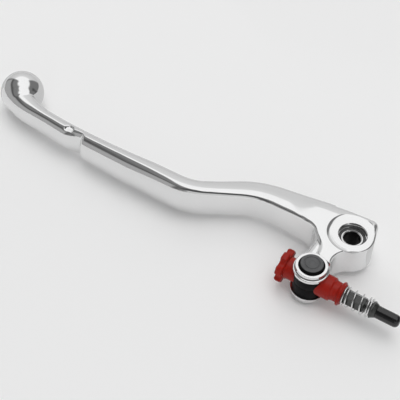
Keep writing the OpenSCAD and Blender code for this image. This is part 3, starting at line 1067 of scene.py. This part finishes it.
def make_spring():
    """Closed end, open coils, closed end: one round wire swept along a helix."""
    per_turn = 40
    tip_reach, tip_size, sides = 0.1, 0.72, 16
    t = np.linspace(0, SPRING_TURNS, int(per_turn * SPRING_TURNS) + 1)
    opened = risen(t - CLOSED_TURNS) - risen(t - SPRING_TURNS + CLOSED_TURNS + 1)
    gentle = CLOSED_PITCH * t[-1]
    from_x, to_x = COLLAR_END_X + WIRE_R, SPRING_END_X - WIRE_R
    open_pitch = (to_x - from_x - gentle) / opened[-1]
    x = from_x + CLOSED_PITCH * t + open_pitch * opened
    a = math.radians(SPRING_START) + TAU * t
    path = np.column_stack([x, BARREL[1] + SPRING_R * np.cos(a), SPRING_R * np.sin(a)])
    along = np.gradient(path, axis=0)
    along /= np.linalg.norm(along, axis=1, keepdims=True)
    out = np.column_stack([np.zeros_like(a), np.cos(a), np.sin(a)])
    side = np.cross(along, out)
    round_wire = np.arange(sides) * TAU / sides
    rings = []
    for i, point in enumerate(path):
        circle = np.outer(np.cos(round_wire), out[i]) + np.outer(np.sin(round_wire), side[i])
        rings.append(point + WIRE_R * circle)
    for end, direction in ((0, -1), (-1, 1)):
        tip = path[end] + direction * along[end] * tip_reach
        ring = tip + (rings[end] - path[end]) * tip_size
        rings.insert(0 if end == 0 else len(rings), ring)
    points, faces = rings_to_mesh(rings, False)
    piece = new_piece("spring_wire", points, faces, [SPRING_STEEL])
    tidy_normals(piece)
    shade(piece, 50)
    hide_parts("return_spring")
    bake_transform(piece)


make_spring()


# ---------- push rod ----------
def chamfer(low, high, start, stop):
    """Profile points that rise or fall evenly from one radius to another."""
    return list(zip(np.linspace(low, high, 7), np.linspace(start, stop, 7)))


def make_rod():
    """Threaded tail, hexagon, round neck, hexagonal shoulder and the cone to the nose."""
    step = 0.1
    thread_r, root_r = THREAD_R - 0.05, THREAD_R - 0.35
    tail, hex_start, hex_end = rod_x(TAIL_FROM), rod_x(HEX_FROM), rod_x(HEX_TO)
    shoulder, shoulder_end = rod_x(SHOULDER_FROM), rod_x(SHOULDER_TO)
    cone_end = rod_x(NOSE_FROM) - 0.02
    rod_flat, rod_corner = ROD_AF / 2, ROD_AF / 2 / math.cos(TAU / 12)
    shoulder_flat = SHOULDER_AF / 2
    shoulder_corner = shoulder_flat / math.cos(TAU / 12)
    cut = thread_shape(0.42)

    def shape(radius, height, angles):
        t = height[0]
        if t < hex_start - 0.05:
            return cut(radius, height, angles)
        if hex_start - 0.01 <= t <= hex_end + 0.01:
            return np.minimum(radius, hexagon(angles, ROD_AF)), height
        if shoulder - 0.01 <= t <= shoulder_end + 0.01:
            return np.minimum(radius, hexagon(angles, SHOULDER_AF)), height
        return radius, height

    profile = [(0.01, tail), (thread_r - 0.5, tail)]
    profile += [(thread_r, t) for t in np.arange(tail + 0.4, hex_start - 0.4, step)]
    profile += [(root_r, hex_start - 0.3), (root_r, hex_start - 0.02)]
    profile += chamfer(rod_flat - 0.1, rod_corner, hex_start, hex_start + 0.35)
    profile += chamfer(rod_corner, rod_flat - 0.1, hex_end - 0.35, hex_end)
    profile += [(ROD_NECK_R, hex_end + 0.02), (ROD_NECK_R, shoulder - 0.02)]
    profile += chamfer(shoulder_flat - 0.15, shoulder_corner, shoulder, shoulder + 0.25)
    profile += chamfer(shoulder_corner, shoulder_flat - 0.1, shoulder_end - 0.3, shoulder_end)
    profile += fillet([
        [CONE_R, shoulder_end + 0.02, 0], [CONE_END_R, cone_end, 0.1], [0.01, cone_end],
    ])
    piece = turned(
        "rod_shaft", profile, [ROD_BLACK], along_rod, sides=96, shape=shape, start=HEX_TURN
    )
    finish_piece(piece, "rod", "push_rod", 24)


def make_nose():
    low = rod_x(NOSE_FROM)
    corners = [
        [0.01, low], [NOSE_R, low, 0.15], [NOSE_R, NOSE_X, NOSE_CORNER], [0.01, NOSE_X],
    ]
    piece = turned("nose_cap", fillet(corners, 12), [NOSE_BLACK], along_rod, sides=128)
    finish_piece(piece, "rod", "push_rod_nose", 50)


make_rod()
make_nose()


# ---------- CAD nodes that keep their shape ----------
def repaint(node, material):
    """Gives a CAD node another material."""
    for slot in bpy.data.objects[node].material_slots:
        slot.material = material


repaint("knob_oring", RUBBER)
repaint("retaining_ring", CLIP_STEEL)


# ---------- camera, light and floor ----------
CAMERA_AT = Vector((78.76, -251.77, 306.61)) * MM
CAMERA_AZIMUTH, CAMERA_ELEVATION, CAMERA_ROLL = 30.72, 47.87, 2.43
CAMERA_LENS, CAMERA_SENSOR = 90, 36
# Brightness of the tent: low down, higher up, its roof, the softbox overhead and the
# backdrop that the camera sees.
TENT_LOW, TENT_HIGH, ROOF, SOFTBOX, BACKDROP = 0.6, 0.78, 1.08, 2.6, 0.85
# Panels of the tent: start and stop round the object in degrees from -Y towards +X,
# lowest and highest elevation, softness of the edges, and brightness.
PANELS = [
    (-104, 6, -10, 72, 9, 0.22),
    (-100, -8, -10, 46, 10, 0.09),
    (-98, -14, -10, 36, 10, 0.42),
    (70, 168, -10, 50, 9, 0.2),
    (98, 122, 0, 30, 14, 0.02),
]


def make_camera():
    """The photo's camera, aimed by its azimuth, elevation and roll."""
    a, e = math.radians(CAMERA_AZIMUTH), math.radians(CAMERA_ELEVATION)
    back = Vector((math.sin(a) * math.cos(e), -math.cos(a) * math.cos(e), math.sin(e)))
    data = bpy.data.cameras.new("camera")
    data.sensor_width = CAMERA_SENSOR
    data.lens = CAMERA_LENS
    data.clip_start, data.clip_end = 0.01, 50
    camera = bpy.data.objects.new("camera", data)
    turn = back.to_track_quat("Z", "Y")
    camera.rotation_mode = "QUATERNION"
    camera.rotation_quaternion = turn @ Matrix.Rotation(
        math.radians(CAMERA_ROLL), 3, "Z"
    ).to_quaternion()
    camera.location = CAMERA_AT
    bpy.context.scene.collection.objects.link(camera)
    bpy.context.scene.camera = camera


def make_floor():
    """A wide pale floor just below the lever."""
    z = LEVER_LOW[2] * MM - 2e-5
    size = 4.0
    mesh = bpy.data.meshes.new("floor")
    mesh.from_pydata(
        [(-size, -size, z), (size, -size, z), (size, size, z), (-size, size, z)], [],
        [(0, 1, 2, 3)],
    )
    material = new_material(
        "floor", roughness=0.8, base_color=grey(0.87), emission_color=grey(1.0),
        emission_strength=0.06,
    )[0]
    mesh.materials.append(material)
    floor = bpy.data.objects.new("floor", mesh)
    bpy.context.scene.collection.objects.link(floor)


def make_card(name, corners, level):
    """A flat card of the studio that only the polished metal sees."""
    material = new_material(
        name, roughness=0.9, base_color=grey(0.004), emission_color=grey(1.0),
        emission_strength=level,
    )[0]
    card = new_piece(name, corners, [(0, 1, 2, 3)], [material])
    card.visible_camera = False
    card.visible_diffuse = False
    card.visible_shadow = False
    card.visible_transmission = False


def make_cards():
    """A tall black flag on the rider side, and a grey card lying on the forward side."""
    near_foot, near_top, far = (-80.0, -95.3), (-42.0, -109.9), (800.0, -434.0)
    flag = [(*near_foot, 30.0), (*far, 430.0), (*far, 1500.0), (*near_top, 300.0)]
    make_card("flag", flag, 0.06)
    z = LEVER_LOW[2] + 0.02
    grey_card = [(-400.0, -16.0, z), (-100.0, -6.0, z), (500.0, 30.0, z), (0.0, 900.0, z)]
    make_card("grey_card", grey_card, 0.62)


def make_light():
    """A light tent: bright above, pale round about, with its two dark openings."""
    world = bpy.data.worlds.new("tent")
    bpy.context.scene.world = world
    world.use_nodes = True
    tree = world.node_tree
    tree.nodes.clear()

    def calc(operation, a, b=0.0):
        return add(tree, "ShaderNodeMath", {0: a, 1: b}, operation=operation).outputs[0]

    where = add(tree, "ShaderNodeTexCoord").outputs["Generated"]
    split = add(tree, "ShaderNodeSeparateXYZ", {0: where})
    x, y, z = split.outputs
    around = calc("MULTIPLY", calc("ARCTAN2", x, calc("MULTIPLY", y, -1.0)), 180 / math.pi)
    up = calc("MULTIPLY", calc("ARCSINE", z), 180 / math.pi)

    def band(value, low, high, soft):
        """1 between low and high, fading to 0 over a soft edge."""
        middle, half = (low + high) / 2, (high - low) / 2
        away = calc("ABSOLUTE", calc("SUBTRACT", value, middle))
        return add(
            tree, "ShaderNodeMapRange",
            {"Value": away, "From Min": half + soft / 2, "From Max": half - soft / 2,
             "To Min": 0.0, "To Max": 1.0},
            interpolation_type="SMOOTHSTEP",
        ).outputs[0]

    def lay(under, level, mask):
        """Replaces the level beneath by a new one where the mask is 1."""
        return calc("ADD", calc("MULTIPLY", under, calc("SUBTRACT", 1.0, mask)),
                    calc("MULTIPLY", mask, level))

    path = add(tree, "ShaderNodeLightPath").outputs
    level = ramp(tree, up, 0.0, 40.0, TENT_LOW, TENT_HIGH)
    level = lay(level, ROOF, band(up, 43, 120, 5))
    overhead = calc("SUBTRACT", band(up, 66, 120, 10), path["Is Glossy Ray"])
    level = lay(level, SOFTBOX, calc("MAXIMUM", overhead, 0.0))
    for start, stop, low, high, soft, value in PANELS:
        mask = calc("MULTIPLY", band(around, start, stop, soft), band(up, low, high, soft))
        level = lay(level, value, mask)
    level = lay(level, BACKDROP, path["Is Camera Ray"])
    light = add(tree, "ShaderNodeBackground", {"Color": grey(1.0), "Strength": level})
    tree.links.new(
        light.outputs[0], add(tree, "ShaderNodeOutputWorld").inputs["Surface"]
    )


make_camera()
make_floor()
make_cards()
make_light()
bpy.context.scene.view_settings.view_transform = "Standard"
